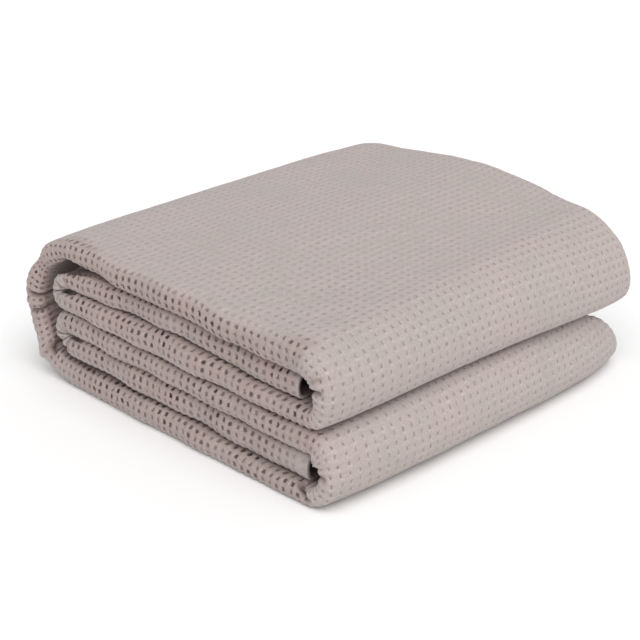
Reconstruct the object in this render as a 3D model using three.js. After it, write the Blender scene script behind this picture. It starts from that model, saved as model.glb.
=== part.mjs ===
// A waffle-weave polyester blanket, folded and lying flat. It is one cloth. Its width is folded in four,
// into a strip of four layers with rolled edges along -Y, and the strip is folded along its length into six
// levels: each of its ends is turned in on itself twice, and the two halves are closed like a book, with the
// spine at -X and two round noses at +X. Millimetres, +Z up, the origin on the floor under the middle.

import * as THREE from "three";
import { LoftGeometry } from "three/addons/geometries/LoftGeometry.js";

const { lerp, smoothstep, clamp } = THREE.MathUtils;

// Driving dimensions of the cloth and the strip
const CLOTH_THICKNESS = 2.7;
const STRIP_WIDTH = 365;
const TAUPE = 0xbdb1ad;

// The strip's four layers, counted in layer pitches from its middle
const OUTER_LAYER = 1.5;
const INNER_LAYER = 0.5;

// How far the two hems stay short of the folds on the far side, and how far the inner roll stays
// behind the outer one
const HEM_SHORT = { lower: 13, upper: 6 };
const ROLL_SPACING = 2.1 * CLOTH_THICKNESS;

// Sizes that change along X are given at the spine, the middle and the nose
const SPINE_X = -120;
const MIDDLE_X = 0;
const NOSE_X = 120;

// Levels from the floor up. near, far: the level's thickness along the rolled edges and along the far side,
// at the spine, the middle and the nose. under: the air below it, at the same places. rolled: how far its
// rolled edge lies behind the frontmost line. folded: how far its folds on the far side stay short.
const ON_FLOOR = [0, 0, 0];
const CLOSE = [1, 1, 1];
const LOOSE = [5, 1, 1];
const LEVELS = {
  base: { near: [19, 19.5, 13], far: [18, 19, 19], under: ON_FLOOR, rolled: [4, 2, 3], folded: 6 },
  lowerTuck: { near: [19, 21, 21], far: [16, 16.5, 16.5], under: LOOSE, rolled: [6, 6, 9.5], folded: 4 },
  lowerLid: { near: [18.5, 16, 20], far: [17, 16.5, 15], under: CLOSE, rolled: [5, 4, 6.5], folded: 18 },
  upperFloor: { near: [18.5, 23, 14], far: [22, 27, 23], under: CLOSE, rolled: [4, 3, 6.5], folded: 2 },
  upperTuck: { near: [18.5, 17.5, 20], far: [21, 27, 23.5], under: CLOSE, rolled: [5, 7, 11], folded: 6 },
  top: { near: [17, 21, 24.5], far: [22.5, 26.5, 25.5], under: LOOSE, rolled: [6.5, 2, 6.5], folded: 0 },
};

// Thickness that a level gains midway across the strip: the lower half is plump, the upper one sinks over it
const PLUMP = { base: 2, lowerTuck: 2, lowerLid: 2, upperFloor: -2, upperTuck: -2, top: -2 };

// Turns between the levels, each half a round in side view. depth: its depth over its half height. power:
// of the cosine in its first and last half, under 1 for a square shoulder and over 1 for a slack one. swell:
// share by which the strip thickens in it. drawn: how far its near and far ends lie behind its middle.
const TURNS = {
  inner: { depth: 1, power: [1, 1], swell: -0.12, drawn: [0, 0] },
  upperNose: { depth: 1, power: [0.75, 1.08], swell: 0, drawn: [8.5, 13] },
  spine: { depth: 1.25, power: [1.15, 0.43], swell: 0.36, drawn: [-6, -4.5] },
  lowerNose: { depth: 1, power: [1.2, 0.45], swell: 0, drawn: [6, 17.5] },
};
const DRAWN_POWER = 5;

// The strip's route from one free end to the other: its runs, each with the X of its start and stop at the
// near and far sides, and the turn that leads to the next run
const ROUTE = [
  { level: "upperTuck", near: [144, -122], far: [110, -114], turn: "inner" },
  { level: "upperFloor", near: [-122, 153], far: [-114, 152], turn: "upperNose" },
  { level: "top", near: [149, -112], far: [124, -115], turn: "spine" },
  { level: "base", near: [-93, 160], far: [-100, 158], turn: "lowerNose" },
  { level: "lowerLid", near: [151.5, -120], far: [135, -113], turn: "inner" },
  { level: "lowerTuck", near: [-120, 151], far: [-113, 122] },
];

// Steps of the surface: where a run is cut along X and a layer across the strip, and the steps of each bend
const RUN_CUTS = [-63, 0, 53, 100];
const LAYER_CUTS = [0, 0.1, 0.35, 0.65, 0.9, 1];
const TURN_STEPS = { inner: 7, upperNose: 9, spine: 12, lowerNose: 9 };
const ROLL_STEPS = 7;
const FOLD_STEPS = 4;

// A size given at the spine, the middle and the nose, blended smoothly along X
function alongX([spine, middle, nose], x) {
  return x < MIDDLE_X
    ? lerp(spine, middle, smoothstep(x, SPINE_X, MIDDLE_X))
    : lerp(middle, nose, smoothstep(x, MIDDLE_X, NOSE_X));
}

// Height of a level's middle and half its thickness; across is 0 at the rolled edges and 1 at the far side
function levelAt(name, x, across) {
  let bottom = 0;
  for (const [level, { near, far, under }] of Object.entries(LEVELS)) {
    const plump = 4 * PLUMP[level] * across * (1 - across);
    const half = (lerp(alongX(near, x), alongX(far, x), across) + plump) / 2;
    bottom += alongX(under, x);
    if (level === name) return { z: bottom + half, half };
    bottom += 2 * half;
  }
  throw new Error(`no level is named ${name}`);
}

// How far a turn is drawn back towards -X, growing steeply towards its two ends
function drawnBack(turn, across) {
  if (!turn) return 0;
  const [near, far] = TURNS[turn].drawn;
  const toEnd = 2 * across - 1;
  return (toEnd < 0 ? near : far) * Math.abs(toEnd) ** DRAWN_POWER;
}

// X where a run starts and stops
function runEnds(leg, across) {
  const { near, far, turn } = ROUTE[leg];
  const turnBefore = leg > 0 ? ROUTE[leg - 1].turn : undefined;
  return [
    lerp(near[0], far[0], across) - drawnBack(turnBefore, across),
    lerp(near[1], far[1], across) - drawnBack(turn, across),
  ];
}

// The strip's middle on a run: the outer face is up where the strip goes to the spine, down on its way back
function onRun(leg, cut, across) {
  const [start, stop] = runEnds(leg, across);
  const toSpine = stop < start;
  const cuts = [start, ...(toSpine ? RUN_CUTS.toReversed() : RUN_CUTS), stop];
  const x = cuts[cut];
  return { x, ...levelAt(ROUTE[leg].level, x, across), outX: 0, outZ: toSpine ? 1 : -1 };
}

// The strip's middle on the turn after a run, at a share of its way round
function onTurn(leg, share, across) {
  const { depth, power, swell } = TURNS[ROUTE[leg].turn];
  const fromX = runEnds(leg, across)[1];
  const toX = runEnds(leg + 1, across)[0];
  const from = levelAt(ROUTE[leg].level, fromX, across);
  const to = levelAt(ROUTE[leg + 1].level, toX, across);
  const rising = to.z > from.z;
  const side = rising ? 1 : -1;
  const angle = side * Math.PI * (share - 0.5);
  const radius = Math.abs(to.z - from.z) / 2;
  const blend = smoothstep(share, 0, 1);
  const reach = Math.max(Math.cos(angle), 0) ** power[share < 0.5 ? 0 : 1];
  return {
    x: lerp(fromX, toX, blend) + side * radius * depth * reach,
    z: (from.z + to.z) / 2 + radius * Math.sin(angle),
    half: lerp(from.half, to.half, blend) * (1 + swell * Math.sin(Math.PI * share) ** 2),
    outX: side * Math.cos(angle),
    outZ: Math.sin(angle),
  };
}

// Every station of the route: how the strip's middle runs there, and how far its two edges are set back
function routeStations() {
  const stations = [];
  const runLast = RUN_CUTS.length + 1;
  ROUTE.forEach(({ level, near, far, turn }, leg) => {
    const { rolled, folded } = LEVELS[level];
    for (let cut = 0; cut <= runLast; cut++) {
      const x = onRun(leg, cut, 0).x;
      stations.push({
        middle: (across) => onRun(leg, cut, across),
        rolled: alongX(rolled, x),
        folded,
      });
    }
    if (!turn) return;
    const next = LEVELS[ROUTE[leg + 1].level];
    for (let step = 1; step < TURN_STEPS[turn]; step++) {
      const share = step / TURN_STEPS[turn];
      const blend = smoothstep(share, 0, 1);
      stations.push({
        middle: (across) => onTurn(leg, share, across),
        rolled: lerp(alongX(rolled, near[1]), alongX(next.rolled, ROUTE[leg + 1].near[0]), blend),
        folded: lerp(folded, next.folded, blend),
      });
    }
  });
  return stations;
}

// Distance from one layer of the strip to the next
const pitchOf = ({ half }) => (half - CLOTH_THICKNESS / 2) / OUTER_LAYER;

// A straight layer of the strip's section, from one Y to another; facing is the side of its outer face
function layer(height, fromY, toY, facing) {
  return LAYER_CUTS.map((cut) => ({ y: lerp(fromY, toY, cut), height, faceY: 0, faceZ: facing }));
}

// The bend between two layers, bulging to the near (-1) or the far (+1) side; outside is 1 where the
// cloth's outer face is on the outside of the bend, and -1 where it is inside
function bend(fromHeight, toHeight, centreY, depth, towards, outside, steps) {
  const middle = (fromHeight + toHeight) / 2;
  const rise = (toHeight - fromHeight) / 2;
  return Array.from({ length: steps - 1 }, (_, i) => {
    const angle = Math.PI * ((i + 1) / steps - 0.5);
    return {
      y: centreY + towards * depth * Math.cos(angle),
      height: middle + rise * Math.sin(angle),
      faceY: outside * towards * Math.cos(angle),
      faceZ: outside * Math.sign(rise) * Math.sin(angle),
    };
  });
}

// The cloth's own middle line through the strip's section, from the lower hem to the upper one
function sectionLine({ middle, rolled, folded }) {
  const nearY = -STRIP_WIDTH / 2 + rolled;
  const farY = STRIP_WIDTH / 2 - folded;
  const nearPitch = pitchOf(middle(0));
  const farPitch = pitchOf(middle(1));
  const outerDepth = OUTER_LAYER * nearPitch;
  const innerDepth = INNER_LAYER * nearPitch;
  const foldDepth = INNER_LAYER * farPitch;
  const outerRollY = nearY + CLOTH_THICKNESS / 2 + outerDepth;
  const innerRollY = nearY + ROLL_SPACING + innerDepth;
  const foldY = farY - CLOTH_THICKNESS / 2 - foldDepth;
  return [
    ...layer(-OUTER_LAYER, farY - HEM_SHORT.lower, outerRollY, -1),
    ...bend(-OUTER_LAYER, OUTER_LAYER, outerRollY, outerDepth, -1, 1, ROLL_STEPS),
    ...layer(OUTER_LAYER, outerRollY, foldY, 1),
    ...bend(OUTER_LAYER, INNER_LAYER, foldY, foldDepth, 1, 1, FOLD_STEPS),
    ...layer(INNER_LAYER, foldY, innerRollY, -1),
    ...bend(INNER_LAYER, -INNER_LAYER, innerRollY, innerDepth, -1, -1, FOLD_STEPS),
    ...layer(-INNER_LAYER, innerRollY, farY - HEM_SHORT.upper, 1),
  ];
}

// The closed outline of the strip's section at a station: the cloth's outer face, then back along its inner
function sectionOutline(station) {
  const face = (side) => ({ y, height, faceY, faceZ }) => {
    const across = clamp(y / STRIP_WIDTH + 0.5, 0, 1);
    const middle = station.middle(across);
    const offset = (side * CLOTH_THICKNESS) / 2;
    const out = height * pitchOf(middle) + offset * faceZ;
    const { x, z, outX, outZ } = middle;
    return new THREE.Vector3(x + out * outX, y + offset * faceY, z + out * outZ);
  };
  const line = sectionLine(station);
  return [...line.map(face(1)), ...line.toReversed().map(face(-1))];
}

// The folded cloth as one closed skin through the outlines, set over the origin
function foldedBlanket() {
  const outlines = routeStations().map(sectionOutline);
  const geometry = new LoftGeometry(outlines, { capStart: true, capEnd: true });
  geometry.computeBoundingBox();
  const middle = geometry.boundingBox.getCenter(new THREE.Vector3());
  geometry.translate(-middle.x, -middle.y, 0);
  const cloth = new THREE.MeshStandardMaterial({ color: TAUPE, roughness: 0.95, metalness: 0 });
  const blanket = new THREE.Mesh(geometry, cloth);
  blanket.name = "blanket";
  return blanket;
}

const part = new THREE.Group();
part.add(foldedBlanket());

export default part;
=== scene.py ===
"""A folded waffle-weave blanket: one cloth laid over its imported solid, its finish, and a plain stage."""

import bpy
import numpy as np
from mathutils import Matrix, Vector


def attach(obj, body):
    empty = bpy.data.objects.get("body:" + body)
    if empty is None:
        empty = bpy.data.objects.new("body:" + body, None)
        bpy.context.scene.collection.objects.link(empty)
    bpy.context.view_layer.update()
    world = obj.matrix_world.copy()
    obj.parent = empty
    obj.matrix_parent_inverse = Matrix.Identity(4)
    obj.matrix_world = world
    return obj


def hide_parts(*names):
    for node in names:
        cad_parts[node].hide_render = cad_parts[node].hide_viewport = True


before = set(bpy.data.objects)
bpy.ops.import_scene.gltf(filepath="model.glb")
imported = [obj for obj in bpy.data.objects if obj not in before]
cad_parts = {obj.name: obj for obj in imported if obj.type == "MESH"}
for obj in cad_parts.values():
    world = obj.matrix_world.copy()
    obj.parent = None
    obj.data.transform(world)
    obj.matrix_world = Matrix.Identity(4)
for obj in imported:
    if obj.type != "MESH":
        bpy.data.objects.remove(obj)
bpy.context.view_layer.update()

bl_info = {
    "name": "Folded waffle blanket",
    "version": (1, 0, 0),
    "blender": (4, 5, 0),
    "location": "View3D > Sidebar > Blanket",
    "description": "Folds one waffle-weave cloth over its packed solid and sets a plain stage",
    "category": "Add Mesh",
}

MM = 0.001

# The strip's four layers, in layer pitches from its middle, and how far its hems lie back in millimetres
OUTER_LAYER = 1.5
INNER_LAYER = 0.5
HEM_LOWER = 13.0
HEM_UPPER = 6.0

# Distance between the two rolls in thicknesses of the cloth, and the powers that make the rolled edge blunt
# and draw back the ends of the turns
ROLL_SPACING = 2.1
ROLL_POWER = 0.65
DRAWN_POWER = 5

# Where the folds' own sizes put the middle of the solid's box
CENTRE = (-2.156, 1.122)

# Sizes that change along X are given at the spine, the middle and the nose
STATIONS = (-120.0, 0.0, 120.0)
ON_FLOOR = (0, 0, 0)
CLOSE = (1, 1, 1)
LOOSE = (5, 1, 1)

# Levels from the floor up: thickness at the near and far side and what it gains midway, air below, set-back
# of the two sides, how far the weave's rows stray round the rolled edge, and its waves' height and start
LEVELS = {
    "base": dict(
        near=(19, 19.5, 13), far=(18, 19, 19), plump=2, under=ON_FLOOR,
        rolled=(4, 2, 3), folded=6, strays=(1.5, 0, -4), wavy=(0.7, 0.6),
    ),
    "lower tuck": dict(
        near=(19, 21, 21), far=(16, 16.5, 16.5), plump=2, under=LOOSE,
        rolled=(6, 6, 9.5), folded=4, strays=(-2, -2, 3), wavy=(1.7, 2.9),
    ),
    "lower lid": dict(
        near=(18.5, 16, 20), far=(17, 16.5, 15), plump=2, under=CLOSE,
        rolled=(5, 4, 6.5), folded=18, strays=(1, 1, -6.5), wavy=(1.7, 4.4),
    ),
    "upper floor": dict(
        near=(18.5, 23, 14), far=(22, 27, 23), plump=-2, under=CLOSE,
        rolled=(4, 3, 6.5), folded=2, strays=(1.5, -3, -7), wavy=(1.7, 1.4),
    ),
    "upper tuck": dict(
        near=(18.5, 17.5, 20), far=(21, 27, 23.5), plump=-2, under=CLOSE,
        rolled=(5, 7, 11), folded=6, strays=(-6, -1, 4), wavy=(1.7, 5.2),
    ),
    "top": dict(
        near=(17, 21, 24.5), far=(22.5, 26.5, 25.5), plump=-2, under=LOOSE,
        rolled=(6.5, 2, 6.5), folded=0, strays=(-6, -1, -6), wavy=(1.7, 3.6),
    ),
}

# Lengths of those waves, how far from the middle they reach and over what length they fade
WAVE_LENGTHS = (58, 97)
WAVE_REACH = 104
WAVE_FADE = 30

# Turns between the levels: depth over half height, powers of the two shoulders, swelling, set-back of the
# ends and of the folded side's last corner, and the share by which the pits on the rolled edge close up there
TURNS = {
    "inner": dict(depth=1, power=(1, 1), swell=-0.12, drawn=(0, 0), corner=0, closed=0.85),
    "upper nose": dict(depth=1, power=(0.5, 1.08), swell=0, drawn=(8.5, 10.5), corner=7, closed=0.9),
    "spine": dict(depth=1.25, power=(1.15, 0.43), swell=0.36, drawn=(-6, -7), corner=0, closed=0.2),
    "lower nose": dict(depth=1, power=(1.2, 0.34), swell=0, drawn=(6, 17.5), corner=33, closed=0.9),
}

# Widths of that last corner along the way: in the turn and on the run after it
CORNER_WIDTHS = (0.3, 0.13)

# The strip's route from one free end to the other: runs with their start and stop in X, and the turns between
ROUTE = (
    dict(level="upper tuck", near=(142.5, -113), far=(110, -114), turn="inner"),
    dict(level="upper floor", near=(-122, 153), far=(-114, 152), turn="upper nose"),
    dict(level="top", near=(149, -112), far=(119, -115), turn="spine"),
    dict(level="base", near=(-93, 160), far=(-100, 158), turn="lower nose"),
    dict(level="lower lid", near=(154.5, -120), far=(139, -113), turn="inner"),
    dict(level="lower tuck", near=(-117, 153), far=(-113, 122), turn=None),
)
WAY_END = 2 * len(ROUTE) - 1
UPPER_NOSE, TOP, SPINE, BASE, LOWER_NOSE = 3, 4, 5, 6, 7
MID_TOP = TOP + 0.5

# Places at the fronts of the outer and inner roll, and where the inner layers begin
OUTER_FRONT, INNER_FRONT, INNER_START = 1.5, 5.5, 4

# Lines of the mesh in a weave cell, as shares of it, and the cells laid round the roll, the flat and the fold
FLAT_LINES = (0.3, 0.5, 0.7)
BEND_LINES = (0.1, 0.3, 0.5, 0.7, 0.9)
ROLL_START = -19.5
ROLL_CELLS = 5
FLAT_CELLS = 40
FOLD_CELLS = 4

# The inner layers stay behind at the strip's two free ends, by this share of their runs
END_SHORT = 0.07

# Creases: the way along the strip and the girth of their middle, their heading (0 along the
# strip, 90 across it), length, half width and depth in millimetres; a bulge has a depth below zero
CREASES = (
    # two across the rolled edge of the spine, with the bulge between them and the slack shoulder above
    (5.30, 8, 90, 60, 14.0, 5.0),
    (5.464, -9, 92, 38, 1.8, 6.5),
    (5.503, -4, 90, 26, 3.5, -1.8),
    (5.542, -8, 88, 36, 1.6, 5.0),
    # the spine's lower corner, pinched from inside
    (5.70, 2, 90, 30, 5.0, -1.0),
    (5.75, 5, 90, 30, 6.0, -4.2),
    (5.785, -16, 90, 28, 5.5, 8.0),
    (9.74, 9, 0, 22, 5.0, 4.0),
    # the hollow inside the spine's upper corner, over the shoulder of the upper inner turn
    (5.06, -16, 90, 24, 7.0, 6.0),
    (1.08, 12, 0, 34, 5.0, 6.0),
    (1.02, 22, 0, 44, 9.0, 4.0),
    # rays from the pinched middle of the upper inner turn
    (1.10, -4, 80, 26, 1.5, 2.6),
    (1.40, -6, 92, 30, 1.7, 4.0),
    (1.62, -6, 88, 26, 1.5, 3.6),
    (1.86, -5, 97, 24, 1.5, 2.6),
    (2.0, -13, 0, 34, 4.0, 5.0),
    # rays from the pinched middle of the lower inner turn
    (9.26, -5, 84, 26, 1.5, 2.4),
    (9.48, -6, 90, 28, 1.6, 3.8),
    (9.68, -6, 94, 26, 1.5, 3.2),
    (9.88, -5, 97, 24, 1.5, 2.4),
    (10.0, -13, 0, 30, 4.0, 4.0),
    # the notch in the rolled edge of the upper nose, and the crease that runs up from it
    (3.55, -5, 90, 24, 2.6, 4.2),
    (3.68, 2, 100, 18, 2.0, 2.0),
    # the lid's edge, drooping over the opening of the lower nose, and the opening's notch and foot
    (7.82, -14, 0, 32, 8.0, -6.0),
    (7.50, -6, 90, 22, 2.2, 3.6),
    (6.99, -5, 43, 26, 2.0, 7.0),
)

# Headings of the two lights, the floor's half width, the camera's sensor in millimetres, and its aim: a point
# on the floor with a shift to the right and up
KEY_HEADING = (-0.46, 0.235, -0.857)
FILL_HEADING = (-0.66, 0.65, -0.39)
FLOOR_REACH = 8.0
SENSOR = 36.0
AIM = (0.00125, -0.00145, 0)
AIM_RIGHT, AIM_UP = -0.00707, 0.03745


def number(name, description, default, **kind):
    """A property with one number of some kind."""
    return bpy.props.FloatProperty(name=name, description=description, default=default, **kind)


def metres(name, description, default):
    """A property in metres."""
    return number(name, description, default, unit="LENGTH")


def radians(name, description, default):
    """A property in radians."""
    return number(name, description, default, subtype="ANGLE")


def colour(name, description, default):
    """A property with a linear colour."""
    return bpy.props.FloatVectorProperty(
        name=name, description=description, default=default, subtype="COLOR", size=3
    )


class BlanketCloth(bpy.types.PropertyGroup):
    """Sizes of the cloth and its weave."""

    thickness: metres("Cloth thickness", "Thickness of one layer", 0.0027)
    strip_width: metres("Strip width", "Width of the folded strip", 0.365)
    flat_width: metres("Flat width", "Width of the cloth when it is opened", 1.42)
    flat_length: metres("Flat length", "Length of the cloth when it is opened", 1.93)
    cell_along: metres("Cell along", "Weave repeat along the strip", 0.00715)
    cell_across: metres("Cell across", "Weave repeat across the strip", 0.0081)
    cell_rolled: metres("Cell round the roll", "Weave repeat round the rolled edge", 0.007)
    pit_depth: metres("Pit depth", "Depth of a weave pit on flat cloth", 0.0009)
    pit_depth_rolled: metres("Pit depth on the roll", "Depth of a pit on the rolled edge", 0.0017)


class BlanketFinish(bpy.types.PropertyGroup):
    """Colours and finish of the cloth, and the colours of its painted shade."""

    cloth_colour: colour("Cloth", "Colour of the cloth", (0.425, 0.371, 0.353))
    # Painted shade inside the weave's pits
    pit_shade_colour: colour("Pits", "Colour in the weave's pits", (0.045, 0.03, 0.026))
    shade_colour: colour("Shade", "Colour deep in the folds", (0.075, 0.037, 0.03))
    # The weave's own darker ground, partly painted shade on the rolled edges
    ground_and_shade_tint: colour("Ground", "Tint of the weave's ground where its pits gape", (0.885, 0.815, 0.805))
    roughness: number("Roughness", "Roughness of the cloth", 0.92, subtype="FACTOR", min=0, max=1)


class BlanketStage(bpy.types.PropertyGroup):
    """Floor, light and camera."""

    floor_colour: colour("Floor", "Colour of the floor", (0.96, 0.96, 0.96))
    ambient: number("Ambient", "Strength of the light all round", 0.575)
    key: number("Key", "Strength of the light from the upper right", 1.76)
    fill: number("Fill", "Strength of the light beside the camera", 0.43)
    spread: radians("Spread", "Width of the two lights", 1.0)
    azimuth: radians("Azimuth", "Camera's direction round the object", 0.793881)
    elevation: radians("Elevation", "Camera's height above the horizon", 0.398668)
    distance: metres("Distance", "Camera's distance", 1.31875)
    lens: number("Lens", "Focal length in millimetres", 89.65)


def lerp(a, b, share):
    """The value at a share of the way from a to b."""
    return a + (b - a) * share


def smooth(share):
    """Share eased at both ends: three squares less two cubes."""
    share = np.clip(share, 0, 1)
    return share * share * (3 - 2 * share)


def along_x(sizes, x):
    """A size given at the spine, the middle and the nose, eased from one to the next along X."""
    (spine, middle, nose), (at_spine, at_middle, at_nose) = sizes, STATIONS
    to_middle = lerp(spine, middle, smooth((x - at_spine) / (at_middle - at_spine)))
    to_nose = lerp(middle, nose, smooth((x - at_middle) / (at_nose - at_middle)))
    return np.where(x < at_middle, to_middle, to_nose)


def within(way, first, last=None, overlap=0.03, ease=0.2):
    """1 on a run or turn, or from one to a later one, easing to 0 beside them."""
    last = first if last is None else last
    return smooth((way - first + overlap) / ease) * smooth((last + 1 + overlap - way) / ease)


def waves(along, *sizes):
    """The mean of sine waves, each with its length and its start."""
    return sum(np.sin(2 * np.pi * along / long + start) for long, start in sizes) / len(sizes)


class FoldedStrip:
    """The cloth as a surface of two parameters, in millimetres: the way along the strip, which counts its
    runs and turns, and the place across it, which counts the layers and bends of its section."""

    def __init__(self, thickness, width):
        self.thickness = thickness
        self.width = width

    def level_at(self, name, x, across):
        """Height of a level's middle and its half thickness: the levels below are stacked up, each blended
        from its near size to its far one and plumped by a parabola between."""
        bottom = np.zeros_like(x)
        for level, row in LEVELS.items():
            plump = 4 * row["plump"] * across * (1 - across)
            half = (lerp(along_x(row["near"], x), along_x(row["far"], x), across) + plump) / 2
            bottom = bottom + along_x(row["under"], x)
            if level == name:
                return bottom + half, half
            bottom = bottom + 2 * half
        raise ValueError(f"no level is named {name}")

    def drawn_back(self, turn, across):
        """How far a turn lies back at its ends: a set-back times a power of the distance from its middle."""
        if turn is None:
            return np.zeros_like(across)
        near, far = TURNS[turn]["drawn"]
        to_end = 2 * across - 1
        return np.where(to_end < 0, near, far) * np.abs(to_end) ** DRAWN_POWER

    def run_ends(self, leg, across):
        """X where a run starts and stops."""
        row = ROUTE[leg]
        before = ROUTE[leg - 1]["turn"] if leg else None
        start = lerp(row["near"][0], row["far"][0], across) - self.drawn_back(before, across)
        stop = lerp(row["near"][1], row["far"][1], across) - self.drawn_back(row["turn"], across)
        return start, stop

    def on_run(self, leg, share, across):
        """Middle of the strip on a run: X goes evenly from its start to its stop, and the outer face is up on
        the way to the spine and down on the way back."""
        start, stop = self.run_ends(leg, across)
        x = lerp(start, stop, share)
        z, half = self.level_at(ROUTE[leg]["level"], x, across)
        near = ROUTE[leg]["near"]
        return x, z, half, np.zeros_like(x), np.full_like(x, 1.0 if near[1] < near[0] else -1.0)

    def on_turn(self, leg, share, across):
        """Middle of the strip on the turn after a run: half a round from one level's middle to the next, its
        depth a power of the cosine, its thickness swelling by a squared sine."""
        row = TURNS[ROUTE[leg]["turn"]]
        from_x = self.run_ends(leg, across)[1]
        to_x = self.run_ends(leg + 1, across)[0]
        from_z, from_half = self.level_at(ROUTE[leg]["level"], from_x, across)
        to_z, to_half = self.level_at(ROUTE[leg + 1]["level"], to_x, across)
        side = np.where(to_z > from_z, 1.0, -1.0)
        angle = side * np.pi * (share - 0.5)
        radius = np.abs(to_z - from_z) / 2
        blend = smooth(share)
        power = np.where(share < 0.5, row["power"][0], row["power"][1])
        reach = np.maximum(np.cos(angle), 0) ** power
        x = lerp(from_x, to_x, blend) + side * radius * row["depth"] * reach
        z = (from_z + to_z) / 2 + radius * np.sin(angle)
        half = lerp(from_half, to_half, blend) * (1 + row["swell"] * np.sin(np.pi * share) ** 2)
        return x, z, half, side * np.cos(angle), np.sin(angle)

    def middle(self, way, across):
        """X, Z, half thickness and outward direction of the strip at a way along it: even whole numbers start
        a run and odd ones a turn."""
        way, across = np.broadcast_arrays(np.asarray(way, float), np.asarray(across, float))
        found = np.zeros((5, *way.shape))
        element = np.clip(np.floor(way), 0, WAY_END - 1).astype(int)
        for number in np.unique(element):
            here = element == number
            place = self.on_turn if number % 2 else self.on_run
            found[:, here] = place(number // 2, way[here] - number, across[here])
        return found

    def set_back(self, way, column):
        """How far the strip's rolled or folded side is set back, or how far its rows stray: its level's size,
        eased over a turn. The rolled side has waves, and the folded one a bell at each turn's last corner."""
        found = np.zeros_like(way)
        element = np.clip(np.floor(way), 0, WAY_END - 1).astype(int)

        def of_leg(leg, x):
            row = LEVELS[ROUTE[leg]["level"]]
            if column == "folded":
                return np.full_like(x, row[column])
            if column == "strays":
                return along_x(row[column], x)
            height, start = row["wavy"]
            short, long = WAVE_LENGTHS
            fade = smooth((WAVE_REACH - np.abs(x)) / WAVE_FADE)
            return along_x(row[column], x) + height * fade * waves(x, (short, start), (long, 2 * start))

        for number in np.unique(element):
            here = element == number
            leg, share = number // 2, way[here] - number
            start = np.zeros_like(share)
            if number % 2:
                before = of_leg(leg, start + ROUTE[leg]["near"][1])
                after = of_leg(leg + 1, start + ROUTE[leg + 1]["near"][0])
                found[here] = lerp(before, after, smooth(share))
            else:
                found[here] = of_leg(leg, lerp(*self.run_ends(leg, start), share))
        if column == "folded":
            for leg, row in enumerate(ROUTE[:-1]):
                past = way - 2 * leg - 2
                bell = np.exp(-((past / np.where(past < 0, *CORNER_WIDTHS)) ** 2))
                found = found + TURNS[row["turn"]]["corner"] * bell
        return found

    def pitch(self, half):
        """Distance from one layer of the strip to the next."""
        return (half - self.thickness / 2) / OUTER_LAYER

    def section(self, way):
        """Sizes of the strip's section: half thickness and pitches at its two sides, and the Y where its
        outer roll, inner roll and far folds begin."""
        near_y = -self.width / 2 + self.set_back(way, "rolled")
        far_y = self.width / 2 - self.set_back(way, "folded")
        near_half = self.middle(way, 0.0)[2]
        near_pitch = self.pitch(near_half)
        far_pitch = self.pitch(self.middle(way, 1.0)[2])
        return dict(
            near_half=near_half,
            far_y=far_y,
            outer_roll=OUTER_LAYER * near_pitch,
            inner_roll=INNER_LAYER * near_pitch,
            fold=INNER_LAYER * far_pitch,
            roll_y=near_y + self.thickness / 2 + OUTER_LAYER * near_pitch,
            inner_y=near_y + ROLL_SPACING * self.thickness + INNER_LAYER * near_pitch,
            fold_y=far_y - self.thickness / 2 - INNER_LAYER * far_pitch,
        )

    def section_line(self, way, place):
        """Y, height in pitches and outward direction of the cloth's own middle line, from the lower hem at
        place 0: layer, outer roll, layer, far fold, layer, inner roll and last layer, each one place long.
        The bends are half rounds, but the outer roll's depth is a power of the cosine."""
        s = self.section(way)
        part = np.clip(np.floor(place), 0, 6).astype(int)
        share = place - part
        cos, sin = np.cos(np.pi * (share - 0.5)), np.sin(np.pi * (share - 0.5))
        one, none = np.ones_like(share), np.zeros_like(share)
        parts = [part == number for number in range(7)]
        y = np.select(parts, [
            lerp(s["far_y"] - HEM_LOWER, s["roll_y"], share),
            s["roll_y"] - s["outer_roll"] * np.maximum(cos, 0) ** ROLL_POWER,
            lerp(s["roll_y"], s["fold_y"], share),
            s["fold_y"] + s["fold"] * cos,
            lerp(s["fold_y"], s["inner_y"], share),
            s["inner_y"] - s["inner_roll"] * cos,
            lerp(s["inner_y"], s["far_y"] - HEM_UPPER, share),
        ])
        height = np.select(parts, [
            -OUTER_LAYER * one, OUTER_LAYER * sin, OUTER_LAYER * one,
            (OUTER_LAYER + INNER_LAYER) / 2 - (OUTER_LAYER - INNER_LAYER) / 2 * sin,
            INNER_LAYER * one, -INNER_LAYER * sin, -INNER_LAYER * one,
        ])
        face_y = np.select(parts, [none, -cos, none, cos, none, cos, none])
        face_z = np.select(parts, [-one, sin, one, -sin, -one, sin, one])
        return y, height, face_y, face_z

    def points(self, way, place, side, lift):
        """Points of the cloth's outer (side 1) or inner (-1) face: the section's line, carried along the
        strip's middle, moved out by half the thickness and by the lift."""
        y, height, face_y, face_z = self.section_line(way, place)
        across = np.clip(y / self.width + 0.5, 0, 1)
        x, z, half, out_x, out_z = self.middle(way, across)
        offset = side * (self.thickness / 2 + lift)
        out = height * self.pitch(half) + offset * face_z
        return np.stack([x + out * out_x, y + offset * face_y, z + out * out_z], -1)

    def place_of_girth(self, way, girth):
        """Place on the outer face at a girth: the length round from the frontmost line of the rolled edge,
        over the roll, along the outer layer, round the far fold and into the next layer."""
        s = self.section(way)
        bend = s["near_half"]
        quarter = bend * np.pi / 2
        flat = s["fold_y"] - s["roll_y"]
        under = s["far_y"] - HEM_LOWER - s["roll_y"]
        round_fold = np.pi * (s["fold"] + self.thickness / 2)
        past_roll = girth - quarter
        past_flat = past_roll - flat
        past_fold = past_flat - round_fold
        return np.select(
            [girth < -quarter, girth < quarter, past_flat < 0, past_fold < 0],
            [
                1 + (girth + quarter) / under,
                OUTER_FRONT + girth / bend / np.pi,
                2 + past_roll / flat,
                3 + past_flat / round_fold,
            ],
            4 + past_fold / (s["fold_y"] - s["inner_y"]),
        )


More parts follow.
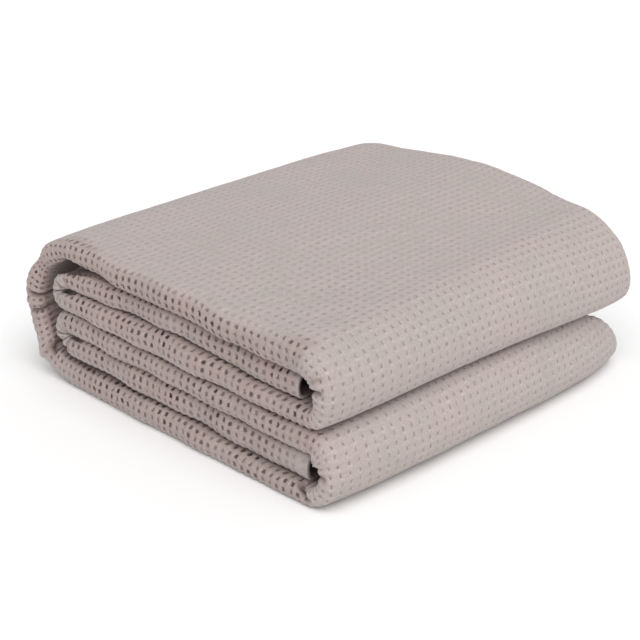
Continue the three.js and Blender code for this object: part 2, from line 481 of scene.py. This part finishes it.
class WeaveLattice:
    """Cells of the weave on the folded strip. Along the strip they are counted by the length of the outer
    face from the start of the upper nose. Where the strip is folded away the length is stretched, so that the
    cells start level at the lower nose and end level at the free ends."""

    ACROSS_STEPS = 33
    ELEMENT_STEPS = 120

    def __init__(self, strip, cell_along):
        self.cell = cell_along
        across = np.linspace(0, 1, self.ACROSS_STEPS)
        shares = smooth(smooth(np.arange(self.ELEMENT_STEPS) / self.ELEMENT_STEPS))
        self.way = np.append(np.add.outer(np.arange(WAY_END), shares).ravel(), WAY_END)
        x, z, half, out_x, out_z = strip.middle(self.way[None, :], across[:, None])
        steps = np.hypot(np.diff(x + half * out_x), np.diff(z + half * out_z))
        true = np.pad(steps.cumsum(1), ((0, 0), (1, 0)))

        def at(number):
            return true[:, number * self.ELEMENT_STEPS, None]

        true = true - at(UPPER_NOSE)

        def stretched(start, stop, start_length, stop_length):
            return start_length + (true - at(start)) * (stop_length - start_length) / (at(stop) - at(start))

        level_start, level_nose, level_end = at(0)[:1], at(LOWER_NOSE)[:1], at(WAY_END)[:1]
        after_nose = level_nose + at(LOWER_NOSE + 1) - at(LOWER_NOSE)
        self.length = np.select(
            [self.way < UPPER_NOSE, self.way < BASE, self.way < LOWER_NOSE, self.way < LOWER_NOSE + 1],
            [
                stretched(0, UPPER_NOSE, level_start, 0),
                true,
                stretched(BASE, LOWER_NOSE, at(BASE), level_nose),
                level_nose + true - at(LOWER_NOSE),
            ],
            stretched(LOWER_NOSE + 1, WAY_END, after_nose, level_end),
        )

    def length_at(self, way):
        """Length from the upper nose to a way, along the rolled edge."""
        return np.interp(way, self.way, self.length[1])

    def count_at(self, way):
        """Cells from the upper nose to a way, along the rolled edge."""
        return self.length_at(way) / self.cell

    def ways(self, counts, across):
        """Way along the strip for each count of cells (columns) at each place across it (rows)."""
        table = np.stack([np.interp(counts * self.cell, row, self.way) for row in self.length])
        place = np.clip(across, 0, 1) * (self.ACROSS_STEPS - 1)
        low = np.minimum(place.astype(int), self.ACROSS_STEPS - 2)
        return lerp(table[low], table[low + 1], (place - low)[:, None])


class Relief:
    """How far the outer face stands out of the plain folds."""

    # Drawn by chance: the pits' shares of their depth for a block of cells, and the soft waves' sizes
    SHARES = (0.5, 1.15)
    BLOCK = (512, 128)
    WAVES = 9
    WAVE_LIMITS = ((14, 30, 0), (60, 120, 2 * np.pi))

    def __init__(self, lattice, sizes):
        rng = np.random.default_rng(7)
        self.lattice = lattice
        self.flat_depth = sizes.pit_depth / MM
        self.rolled_depth = sizes.pit_depth_rolled / MM
        self.uneven = rng.uniform(*self.SHARES, self.BLOCK)
        self.waves = rng.uniform(*self.WAVE_LIMITS, (self.WAVES, 3))

    def pits(self, along, across, gape_and_shade, bent):
        """The weave's pits: a round dimple in the middle of every cell, longer across the strip on its rolled
        edge and along it on its noses, each with its own share of the depth."""
        du, dv = along % 1 - 0.5, across % 1 - 0.5
        half, half_long, half_wide, narrower = 0.16, 0.2, 0.26, 0.06
        long = lerp(half, half_long, np.maximum(gape_and_shade, bent))
        wide = lerp(half, half_wide, gape_and_shade) - narrower * bent
        dimple = np.exp(-((du / long) ** 2) - (dv / wide) ** 2)
        row, column = (np.floor(cells).astype(int) % size for cells, size in zip((along, across), self.BLOCK))
        share = self.uneven[row, column]
        return -lerp(self.flat_depth, self.rolled_depth, gape_and_shade) * share * dimple

    def lumps(self, length, girth, gape_and_shade):
        """Soft unevenness: the sum of some sine waves along the strip and across it."""
        on_flat, on_roll = 0.06, 0.10
        total = np.zeros(np.broadcast(length, girth).shape)
        for along, across, start in self.waves:
            total = total + np.sin(2 * np.pi * (length / along + girth / across) + start)
        return lerp(on_flat, on_roll, gape_and_shade) * total

    def ribs(self, along, girth):
        """Low ribs round the rolled edge between the rows of pits: a cosine, faded out on the flat."""
        height, end, fade = 0.3, 34, 12
        return height * np.cos(2 * np.pi * along) * smooth((end - np.abs(girth)) / fade)

    def creases(self, length, girth, spread=0.0, widest=np.inf):
        """Troughs and bulges: a bell across each crease, wider by the spread, eased to nothing at its ends.
        Those past the widest are left out."""
        total = np.zeros(np.broadcast(length, girth).shape)
        for way, middle, heading, long, wide, depth in CREASES:
            if wide > widest:
                continue
            turn = np.radians(heading)
            du, dv = length - self.lattice.length_at(way), girth - middle
            along = du * np.cos(turn) + dv * np.sin(turn)
            aside = dv * np.cos(turn) - du * np.sin(turn)
            end = smooth(2 - 4 * np.abs(along) / (long + 2 * spread))
            total = total - depth * np.exp(-((aside / (wide + spread)) ** 2)) * end
        return total


def zipped(first, first_keys, second, second_keys):
    """Triangles between two rows of points with different steps: the steps of both are taken in the order of
    their middles, each closed by the other row's point there."""
    a_step, b_step = len(first) - 1, len(second) - 1
    keys = np.concatenate([(first_keys[1:] + first_keys[:-1]) / 2, (second_keys[1:] + second_keys[:-1]) / 2])
    order = np.argsort(keys, kind="stable")
    of_first = order < a_step
    i = np.cumsum(of_first) - of_first
    j = np.cumsum(~of_first) - ~of_first
    third = np.where(of_first, first[np.minimum(i + 1, a_step)], second[np.minimum(j + 1, b_step)])
    return np.stack([first[i], second[j], third], 1)


class Skin:
    """Collects grids of points into one closed mesh."""

    # Attributes: the pits' gape, which also places painted shade, their bend, painted shade, and the face's
    # relief, where higher values mean less painted shade
    ATTRIBUTES = ("gape_and_shade", "bent", "painted_shade", "raised_and_unshaded")

    def __init__(self):
        self.points, self.values, self.quads, self.triangles = [], [], [], []
        self.count = 0

    def add(self, points, values, flip):
        """Keeps a grid of points, their values and its quads, and gives the points' numbers."""
        shape = points.shape[:2]
        numbers = self.count + np.arange(shape[0] * shape[1]).reshape(shape)
        self.count += numbers.size
        self.points.append(points.reshape(-1, 3))
        columns = [np.broadcast_to(value, shape) for value in values]
        self.values.append(np.stack(columns, -1).reshape(numbers.size, -1))
        corners = [numbers[:-1, :-1], numbers[1:, :-1], numbers[1:, 1:], numbers[:-1, 1:]]
        quads = np.stack(corners, -1).reshape(-1, 4)
        self.quads.append(quads[:, ::-1] if flip else quads)
        return numbers

    def join(self, first, first_keys, second, second_keys, flip=False):
        """Triangles between two rows."""
        triangles = zipped(first, first_keys, second, second_keys)
        self.triangles.append(triangles[:, ::-1] if flip else triangles)

    def mesh(self, name):
        """The closed mesh: the first two values are its UV map, in cells of the weave, and the others its
        attributes."""
        quads, triangles = np.concatenate(self.quads), np.concatenate(self.triangles)
        values = np.concatenate(self.values).astype(np.float32)
        corners = np.concatenate([quads.ravel(), triangles.ravel()]).astype(np.int32)
        sides = np.repeat((4, 3), (len(quads), len(triangles))).astype(np.int32)
        made = bpy.data.meshes.new(name)
        made.vertices.add(self.count)
        made.vertices.foreach_set("co", (np.concatenate(self.points) * MM).astype(np.float32).ravel())
        made.loops.add(len(corners))
        made.loops.foreach_set("vertex_index", corners)
        made.polygons.add(len(sides))
        made.polygons.foreach_set("loop_start", np.cumsum(sides) - sides)
        made.polygons.foreach_set("loop_total", sides)
        made.polygons.foreach_set("use_smooth", np.ones(len(sides), bool))
        made.update(calc_edges=True)
        made.uv_layers.new(name="weave").data.foreach_set("uv", values[corners, :2].ravel())
        for column, label in enumerate(self.ATTRIBUTES, 2):
            layer = made.attributes.new(label, "FLOAT", "POINT")
            layer.data.foreach_set("value", np.ascontiguousarray(values[:, column]))
        if made.validate(clean_customdata=False):
            raise RuntimeError("the cloth's mesh has faulty faces")
        return made


class ClothLayer:
    """Lays the cloth's two faces in rows on the folded strip: rows of constant girth on the weave's own lines
    where the outer face shows, and sparse rows of constant place where it is folded away."""

    def __init__(self, sizes):
        self.strip = FoldedStrip(sizes.thickness / MM, sizes.strip_width / MM)
        self.lattice = WeaveLattice(self.strip, sizes.cell_along / MM)
        self.relief = Relief(self.lattice, sizes)
        self.roll_cell, self.flat_cell = sizes.cell_rolled / MM, sizes.cell_across / MM
        self.roll_stop = ROLL_START + ROLL_CELLS * self.roll_cell
        self.skin = Skin()

    def cells_of_girth(self, girth):
        """Weave cells counted round the cloth from the start of the roll."""
        on_roll = (girth - ROLL_START) / self.roll_cell
        on_flat = ROLL_CELLS + (girth - self.roll_stop) / self.flat_cell
        return np.where(girth < self.roll_stop, on_roll, on_flat)

    def girths(self, first, count, lines):
        """Girths of the mesh lines in a number of cells."""
        cells = np.add.outer(first + np.arange(count), lines).ravel()
        on_roll = ROLL_START + cells * self.roll_cell
        return np.where(cells < ROLL_CELLS, on_roll, self.roll_stop + (cells - ROLL_CELLS) * self.flat_cell)

    def columns(self):
        """Mesh lines along the strip, in cells: all of them, those that show on its outer layer, and sparse
        ones, close together only in the turns."""
        first = int(np.ceil(self.lattice.count_at(0))) + 1
        last = int(np.floor(self.lattice.count_at(WAY_END))) - 1
        cells = np.arange(first, last)
        past_shown, past_turn, step = 3, 1, 5

        def between(start, stop, past):
            from_cell, to_cell = self.lattice.count_at(start), self.lattice.count_at(stop)
            return (cells >= from_cell - past) & (cells <= to_cell + past)

        shown = between(UPPER_NOSE, BASE, past_shown) | between(LOWER_NOSE, LOWER_NOSE + 1, past_shown)
        turning = sum(between(number, number + 1, past_turn) for number in range(1, WAY_END, 2)) > 0
        sparse = cells[turning | (cells % step == 0)] + 0.5
        every = np.add.outer(cells, BEND_LINES).ravel()
        return every, np.union1d(np.add.outer(cells[shown], FLAT_LINES).ravel(), sparse), sparse

    def ways(self, columns, places):
        """Way along the strip for rows at given places, with the two free ends, where the inner layers stay
        behind."""
        start, ease = 2.2, 1.2
        y = self.strip.section_line(np.full_like(places, MID_TOP), places)[0]
        way = self.lattice.ways(columns, y / self.strip.width + 0.5)
        behind = (END_SHORT * smooth((places - start) / ease))[:, None]
        way = np.concatenate([np.zeros_like(behind), way, np.full_like(behind, WAY_END)], 1)
        return way + behind * (np.maximum(1 - way, 0) - np.maximum(way - WAY_END + 1, 0))

    @staticmethod
    def keys(columns):
        """Counts of cells with one more at each end."""
        return np.concatenate([[columns[0] - 1], columns, [columns[-1] + 1]])

    def openness_and_shade(self, way, girth, length):
        """How far the pits gape, which also places painted shade: most on the upper half of a rolled edge, in
        the shade of the next one, which overhangs it, and on the lower half of the topmost; in patches along
        it; less in the turns; not at all on the flat."""
        above, lower_on_top, lower_on_spine = 8, 11, 6
        half, fade, mean, change, fade_start, fade_end = 6, 13, 0.76, 0.34, 0.03, 0.12
        # Painted shade: the pits gape most where the next level overhangs the rolled edge
        middle = above * self.strip.middle(way, 0.0)[4]
        middle = middle - lower_on_top * within(way, TOP) - lower_on_spine * within(way, SPINE)
        gape_and_shade = 1 - smooth((np.abs(girth - middle) - half) / fade)
        gape_and_shade = gape_and_shade * (mean + change * waves(length, (83, 1.0), (47, 2.2), (190, 0.4)))
        for leg, row in enumerate(ROUTE[:-1]):
            gape_and_shade = gape_and_shade * (1 - TURNS[row["turn"]]["closed"] * within(way, 2 * leg + 1))
        return np.clip(gape_and_shade * smooth(way / fade_start) * smooth((WAY_END - way) / fade_end), 0, 1)

    @staticmethod
    def bend(way, girth):
        """How far the pits are drawn out along the strip: in the noses and the spine, less over the top's
        near corner, and not at all on the inner half of the rolled edge."""
        start, ease, share, reach, corner_end, corner_fade = -6, 14, 0.45, 0.65, 190, 120
        bent = sum(within(way, number) for number in (UPPER_NOSE, SPINE, LOWER_NOSE))
        corner = smooth((way - UPPER_NOSE) / 0.2) * smooth((TOP + reach - way) / reach)
        corner = corner * smooth((corner_end - girth) / corner_fade)
        return np.maximum(bent, share * corner) * smooth((girth - start) / ease)

    @staticmethod
    def covered(way, girth):
        """How far a rolled edge lies in the shade of the folds: its inner side, and its outer side too where
        another level lies on it."""
        share, ease, inner, more_in_spine, outer, end, fade = 0.6, 8, -12, 3, 13, 95, 40
        under = 1 - within(way, UPPER_NOSE, LOWER_NOSE, overlap=0.1)
        under = under * smooth((girth - outer) / ease) * smooth((end - girth) / fade)
        behind = smooth((inner + more_in_spine * within(way, SPINE) - girth) / ease)
        return share * np.maximum(behind, under)

    def lay_girths(self, columns, girths):
        """Rows of constant girth on the outer face, which stray a little on the roll, with the relief."""
        end, fade, stray, stray_wave, widest, deepest = 95, 75, 0.8, (64, 1.3), 10.0, 5
        places = self.strip.place_of_girth(np.full_like(girths, MID_TOP), girths)
        way = self.ways(columns, places)
        girth = np.broadcast_to(girths[:, None], way.shape)
        along = np.broadcast_to(self.keys(columns), way.shape)
        across = self.cells_of_girth(girth)
        length = along * self.lattice.cell
        strays = self.strip.set_back(way, "strays") + stray * waves(length, stray_wave)
        girth = girth + smooth((end - girth) / fade) * strays
        gape_and_shade, bent = self.openness_and_shade(way, girth, length), self.bend(way, girth)
        lift = self.relief.pits(along, across, gape_and_shade, bent) + self.relief.lumps(length, girth, gape_and_shade)
        lift = lift + self.relief.ribs(along, girth) + self.relief.creases(length, girth)
        # Painted shade: darker in the narrow creases and where the folds cover the rolled edge
        narrow = self.relief.creases(length, girth, widest=widest)
        painted_shade = np.clip(np.maximum(-narrow / deepest, self.covered(way, girth)), 0, 1)
        points = self.strip.points(way, self.strip.place_of_girth(way, girth), 1, lift) - (*CENTRE, 0)
        points[..., 2] = np.maximum(points[..., 2], 0)
        return self.skin.add(points, (along, across, gape_and_shade, bent, painted_shade, 1.0), False)

    def giving_way(self, way, place, side, length):
        """How far the hidden faces of the outer roll and of the inner one move in under the creases."""
        spread, reach = 7.0, 0.7
        outer = place < INNER_START
        from_front = np.where(outer, place - OUTER_FRONT, INNER_FRONT - place)
        girth = from_front * (np.pi * self.strip.section(way)["near_half"])
        deep = np.maximum(-self.relief.creases(length, girth, spread), 0)
        on_inner = (np.abs(from_front) < 0.5) * side * np.cos(np.pi * from_front)
        return deep * np.where(outer, -min(side, 0) * (np.abs(from_front) < reach), on_inner)

    def lay_places(self, columns, places, side):
        """Sparse rows of constant place on the outer face (side 1) or the inner one (-1), shaded round the
        two rolls, less in the spine's hollow, which shows."""
        shade, shade_in_hollow, fade, raised_and_unshaded_in_hollow = 0.85, 0.4, 0.4, 0.7
        way = self.ways(columns, places)
        place = np.broadcast_to(places[:, None], way.shape)
        along = np.broadcast_to(self.keys(columns), way.shape)
        across = place * self.strip.width / self.flat_cell
        given = self.giving_way(way, place, side, along * self.lattice.cell)
        points = self.strip.points(way, place, side, given) - (*CENTRE, 0)
        hollow = within(way, SPINE)
        from_front = np.abs(place - np.where(place < INNER_START, OUTER_FRONT, INNER_FRONT))
        # Painted shade on the hidden faces round the two rolls, less in the spine's hollow
        painted_shade = lerp(shade, shade_in_hollow, hollow) * smooth((1 - from_front) / fade)
        return self.skin.add(points, (along, across, 0.0, 0.0, painted_shade, raised_and_unshaded_in_hollow * hollow), side < 0)

    def closed(self, name):
        """The whole cloth: its outer face from the lower hem to the upper one, its inner face, the hems and
        the two free ends."""
        every, shown, sparse = self.columns()
        hem, layer = np.array((0, 0.012, 0.035, 0.04)), np.array((0.1, 0.4, 0.7, 0.92))
        outer_bend, inner_bend = np.linspace(0, 1, 9), np.linspace(0, 1, 5)
        lower = np.concatenate([hem, layer])
        upper = np.concatenate([4 + layer, 5 + inner_bend, 6 + layer[:-1], 7 - hem[::-1]])
        inside = np.concatenate([lower, 1 + outer_bend, 2 + layer, 3 + inner_bend, upper])
        roll = self.girths(0, ROLL_CELLS, BEND_LINES)
        flat = self.girths(ROLL_CELLS, FLAT_CELLS, FLAT_LINES)
        fold = self.girths(ROLL_CELLS + FLAT_CELLS, FOLD_CELLS, BEND_LINES)
        outer = np.concatenate([flat, fold])
        bands = (
            (self.lay_places(sparse, lower, 1), sparse, lower),
            (self.lay_girths(every, roll), every, self.strip.place_of_girth(np.zeros_like(roll), roll)),
            (self.lay_girths(shown, outer), shown, self.strip.place_of_girth(np.zeros_like(outer), outer)),
            (self.lay_places(sparse, upper, 1), sparse, upper),
        )
        inner = self.lay_places(sparse, inside, -1)
        for (below, below_columns, _), (above, above_columns, _) in zip(bands, bands[1:]):
            self.skin.join(below[-1], self.keys(below_columns), above[0], self.keys(above_columns))
        self.skin.join(inner[0], self.keys(sparse), bands[0][0][0], self.keys(sparse))
        self.skin.join(bands[-1][0][-1], self.keys(sparse), inner[-1], self.keys(sparse))
        places = np.concatenate([band[2] for band in bands])
        for end in (0, -1):
            rim = np.concatenate([band[0][:, end] for band in bands])
            self.skin.join(rim, places, inner[:, end], inside, end < 0)
        return self.skin.mesh(name)


class Shading:
    """The nodes of a material, set out in rows in the order they are made."""

    def __init__(self, material):
        material.use_nodes = True
        self.tree = material.node_tree
        self.tree.nodes.clear()

    def put(self, socket, value):
        """Sets an input to a value, or links it to another node's output."""
        if isinstance(value, bpy.types.NodeSocket):
            self.tree.links.new(value, socket)
        else:
            socket.default_value = value

    def node(self, kind, **settings):
        """A node with its settings; a setting that names an input goes to that input."""
        row, column = divmod(len(self.tree.nodes), 10)
        made = self.tree.nodes.new(kind)
        made.location = (200 * column, -300 * row)
        for key, value in settings.items():
            if key in made.inputs:
                self.put(made.inputs[key], value)
            else:
                setattr(made, key, value)
        return made

    def sums(self, operation, *values):
        """A Math node of up to three values, each a number or another node's output."""
        made = self.node("ShaderNodeMath", operation=operation)
        for socket, value in zip(made.inputs, values):
            self.put(socket, value)
        return made.outputs[0]

    def total(self, start, *terms):
        """A start and some values, each times its own share."""
        for value, share in terms:
            start = self.sums("MULTIPLY_ADD", value, share, start)
        return start

    def about(self, chance, spread, middle=0.0):
        """A chance from 0 to 1, spread evenly about a middle."""
        return self.total(middle - spread / 2, (chance, spread))

    def mapped(self, value, start, stop, to=(0.0, 1.0), eased=True):
        """A value's share of the way from start to stop, eased or even, carried to other limits."""
        made = self.node("ShaderNodeMapRange", interpolation_type="SMOOTHSTEP" if eased else "LINEAR")
        names = ("Value", "From Min", "From Max", "To Min", "To Max")
        for name, setting in zip(names, (value, start, stop, *to)):
            self.put(made.inputs[name], setting)
        return made.outputs[0]

    def mixed(self, factor, first, second, blend="MIX"):
        """Two colours mixed or multiplied by a factor, each three numbers or another node's output."""
        first, second = (c if isinstance(c, bpy.types.NodeSocket) else (*c, 1) for c in (first, second))
        kind = dict(data_type="RGBA", blend_type=blend)
        return self.node("ShaderNodeMix", **kind, Factor=factor, A=first, B=second).outputs["Result"]


def cloth_finish(finish):
    """Matt brushed polyester: a taupe that drifts a little over the cloth, with painted shade in the weave's
    pits and deep in the folds, a fine nap in the bump and a soft sheen."""
    made = bpy.data.materials.new("waffle_cloth")
    shading = Shading(made)
    node, sums, total, mapped = shading.node, shading.sums, shading.total, shading.mapped
    gape_and_shade, bent, painted_shade, raised_and_unshaded = (
        node("ShaderNodeAttribute", attribute_name=name).outputs["Fac"] for name in Skin.ATTRIBUTES
    )
    weave = node("ShaderNodeUVMap", uv_map="weave").outputs[0]
    cells = node("ShaderNodeSeparateXYZ", Vector=weave).outputs
    cell = node("ShaderNodeVectorMath", operation="FLOOR", Vector=weave).outputs[0]
    chance = node("ShaderNodeTexWhiteNoise", noise_dimensions="2D", Vector=cell).outputs
    chances = node("ShaderNodeSeparateColor", Color=chance["Color"]).outputs
    where = node("ShaderNodeTexCoord").outputs["Object"]
    nap = node("ShaderNodeTexNoise", Vector=where, Scale=620.0, Detail=3.0, Roughness=0.6).outputs
    rags = node("ShaderNodeSeparateColor", Color=nap["Color"]).outputs
    drift = node("ShaderNodeTexNoise", Vector=where, Scale=26.0, Detail=3.0, Roughness=0.55).outputs["Fac"]

    # How far each pit gapes, by chance
    gape = mapped(chance["Value"], 0.0, 0.75)
    shut = sums("MULTIPLY", sums("SUBTRACT", 1.0, gape), gape_and_shade)

    # Place in the cell from the middle of its pit, which lies a little askew, slants and has a ragged rim
    askew_along, askew_across, slant, rag = 0.12, 0.10, 0.5, 0.45
    along_cell, across_cell = sums("FRACT", cells[0]), sums("FRACT", cells[1])
    along = sums("ADD", along_cell, shading.about(chances[0], askew_along, -0.5))
    across = sums("ADD", across_cell, shading.about(chances[1], askew_across, -0.5))
    along = sums("MULTIPLY_ADD", across, shading.about(chances[2], slant), along)
    along = sums("ADD", along, shading.about(rags[0], rag))
    across = sums("ADD", across, shading.about(rags[1], rag))

    # The pit, a blunt slot: round on the flat, long round the rolled edge, narrow along the strip in turns
    half_along = total(0.22, (bent, -0.02), (gape_and_shade, -0.035), (shut, -0.07))
    half_across = total(0.20, (gape_and_shade, 0.09), (bent, -0.12))
    blunt, rim, floor = 3.0, 1.9, 0.4
    out_along = sums("POWER", sums("ABSOLUTE", sums("DIVIDE", along, half_along)), blunt)
    out_across = sums("POWER", sums("ABSOLUTE", sums("DIVIDE", across, half_across)), blunt)
    dimple = mapped(sums("ADD", out_along, out_across), rim, floor)

    # Share of the pits' painted shade: most on the rolled edges, less in the turns, least and in patches on
    # the flat
    drift_low, drift_high = 0.35, 0.65
    patch = mapped(drift, drift_low, drift_high, (0.02, 0.14), eased=False)
    strength = total(patch, (gape_and_shade, 0.92), (bent, 0.23))
    pit_shade = sums("MULTIPLY", sums("MULTIPLY", dimple, total(0.6, (gape, 0.4))), strength)

    # Pale ridges between the rows of pits, and a pale fleck beside each pit, where the light catches its lip
    ridge_foot, ridge_top, fleck_rim, fleck_middle = 0.3, 0.48, 1.2, 0.1
    ridge = mapped(sums("ABSOLUTE", sums("SUBTRACT", along_cell, 0.5)), ridge_foot, ridge_top)
    beside, aside = total(1.75, (along, 6.0)), sums("MULTIPLY", across, 4.5)
    fleck = sums("MULTIPLY_ADD", aside, aside, sums("MULTIPLY", beside, beside))
    fleck = mapped(fleck, fleck_rim, fleck_middle)
    pale = total(1.0, (sums("MULTIPLY", ridge, chances[0]), 0.07), (sums("MULTIPLY", fleck, gape), 0.13))

    # The cloth's own tone, which drifts from cool to warm and is specked by the nap
    ramp = node("ShaderNodeValToRGB", Fac=drift)
    cool, warm = ramp.color_ramp.elements
    cool.position, cool.color = drift_low, (0.975, 0.99, 0.98, 1)
    warm.position, warm.color = drift_high, (1.03, 1.0, 1.005, 1)
    speck = mapped(nap["Fac"], 0.3, 0.7, (0.89, 1.11), eased=False)
    speck = sums("MULTIPLY", speck, pale)
    drifted = node("ShaderNodeVectorMath", operation="SCALE", Vector=ramp.outputs[0], Scale=speck).outputs[0]
    tone = shading.mixed(1.0, finish.cloth_colour, drifted, "MULTIPLY")

    # The opened weave shows more of its brown ground, partly painted shade on the rolled edges; the pits,
    # creases, covered rolled edges and hidden faces get painted shade
    tone = shading.mixed(sums("MULTIPLY", gape_and_shade, 1.6), tone, finish.ground_and_shade_tint, "MULTIPLY")
    tone = shading.mixed(pit_shade, tone, finish.pit_shade_colour)
    tone = shading.mixed(total(0.3, (raised_and_unshaded, -0.3), (painted_shade, 0.6)), tone, finish.shade_colour)

    # The nap and the pits in the bump, deeper where the mesh has no pits of its own
    height = sums("MULTIPLY_ADD", dimple, total(-3.0, (raised_and_unshaded, 1.5)), nap["Fac"])
    bump = node("ShaderNodeBump", Strength=0.6, Distance=0.0004, Height=height).outputs[0]
    shader = node("ShaderNodeBsdfPrincipled", Roughness=finish.roughness, Normal=bump, **{
        "Base Color": tone, "Specular IOR Level": 0.2, "Sheen Weight": 0.15, "Sheen Roughness": 0.5,
    })
    node("ShaderNodeOutputMaterial", Surface=shader.outputs[0])
    return made


class BLANKET_OT_fold_cloth(bpy.types.Operator):
    """Fold the waffle-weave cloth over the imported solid"""

    bl_idname = "blanket.fold_cloth"
    bl_label = "Fold the cloth"

    def execute(self, context):
        sizes = context.scene.blanket_cloth
        cloth = bpy.data.objects.new("blanket_cloth", ClothLayer(sizes).closed("blanket_cloth"))
        context.scene.collection.objects.link(cloth)
        cloth.data.materials.append(cloth_finish(context.scene.blanket_finish))
        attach(cloth, "root")
        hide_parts("blanket")
        return {"FINISHED"}


class BLANKET_OT_set_stage(bpy.types.Operator):
    """Lay a pale floor, soft studio lights and the camera"""

    bl_idname = "blanket.set_stage"
    bl_label = "Set the stage"

    def execute(self, context):
        stage = context.scene.blanket_stage
        scene = context.scene
        self.lay_floor(scene, stage)
        self.light(scene, stage)
        self.aim(scene, stage)
        return {"FINISHED"}

    def lay_floor(self, scene, stage):
        """A pale plane, wide enough to fill the view."""
        mesh = bpy.data.meshes.new("floor")
        corners = [(x * FLOOR_REACH, y * FLOOR_REACH, 0) for x, y in ((-1, -1), (1, -1), (1, 1), (-1, 1))]
        mesh.from_pydata(corners, [], [(0, 1, 2, 3)])
        floor = bpy.data.objects.new("floor", mesh)
        paper = bpy.data.materials.new("floor_paper")
        paper.use_nodes = True
        shader = paper.node_tree.nodes["Principled BSDF"]
        shader.inputs["Base Color"].default_value = (*stage.floor_colour, 1)
        shader.inputs["Roughness"].default_value = 0.9
        shader.inputs["Specular IOR Level"].default_value = 0.1
        mesh.materials.append(paper)
        scene.collection.objects.link(floor)

    def light(self, scene, stage):
        """White light all round, a large soft light from the upper right and a weak one beside the camera."""
        world = bpy.data.worlds.new("studio")
        world.use_nodes = True
        background = world.node_tree.nodes["Background"]
        background.inputs["Color"].default_value = (1, 1, 1, 1)
        background.inputs["Strength"].default_value = stage.ambient
        scene.world = world
        for name, strength, heading in (
            ("key", stage.key, KEY_HEADING),
            ("fill", stage.fill, FILL_HEADING),
        ):
            lamp = bpy.data.lights.new(name, "SUN")
            lamp.energy = strength
            lamp.angle = stage.spread
            light = bpy.data.objects.new(name, lamp)
            light.rotation_euler = Vector(heading).to_track_quat("-Z", "Y").to_euler()
            scene.collection.objects.link(light)
        scene.view_settings.view_transform = "Standard"
        scene.view_settings.look = "None"

    def aim(self, scene, stage):
        """The camera, back along its line of sight from a point near the object's middle."""
        a, e = stage.azimuth, stage.elevation
        back = Vector((np.sin(a) * np.cos(e), -np.cos(a) * np.cos(e), np.sin(e)))
        right = Vector((np.cos(a), np.sin(a), 0))
        up = back.cross(right)
        lens = bpy.data.cameras.new("camera")
        lens.sensor_width = SENSOR
        lens.lens = stage.lens
        camera = bpy.data.objects.new("camera", lens)
        middle = Vector(AIM) + right * AIM_RIGHT + up * AIM_UP
        turned = Matrix((right, up, back)).transposed().to_4x4()
        camera.matrix_world = Matrix.Translation(middle + back * stage.distance) @ turned
        scene.collection.objects.link(camera)
        scene.camera = camera


class BLANKET_PT_tools(bpy.types.Panel):
    """Lists the blanket's operators and sizes"""

    bl_idname = "BLANKET_PT_tools"
    bl_label = "Folded blanket"
    bl_space_type = "VIEW_3D"
    bl_region_type = "UI"
    bl_category = "Blanket"

    def draw(self, context):
        for group in (getattr(context.scene, name) for name in GROUPS):
            box = self.layout.box()
            for name in group.__annotations__:
                box.prop(group, name)
        self.layout.operator("blanket.fold_cloth")
        self.layout.operator("blanket.set_stage")


GROUPS = {"blanket_cloth": BlanketCloth, "blanket_finish": BlanketFinish, "blanket_stage": BlanketStage}
CLASSES = (*GROUPS.values(), BLANKET_OT_fold_cloth, BLANKET_OT_set_stage, BLANKET_PT_tools)


def register():
    for kind in CLASSES:
        bpy.utils.register_class(kind)
    for name, group in GROUPS.items():
        setattr(bpy.types.Scene, name, bpy.props.PointerProperty(type=group))


def unregister():
    for name in GROUPS:
        delattr(bpy.types.Scene, name)
    for kind in reversed(CLASSES):
        bpy.utils.unregister_class(kind)


def main():
    """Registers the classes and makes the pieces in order."""
    register()
    bpy.ops.blanket.fold_cloth()
    bpy.ops.blanket.set_stage()


if __name__ == "__main__":
    main()
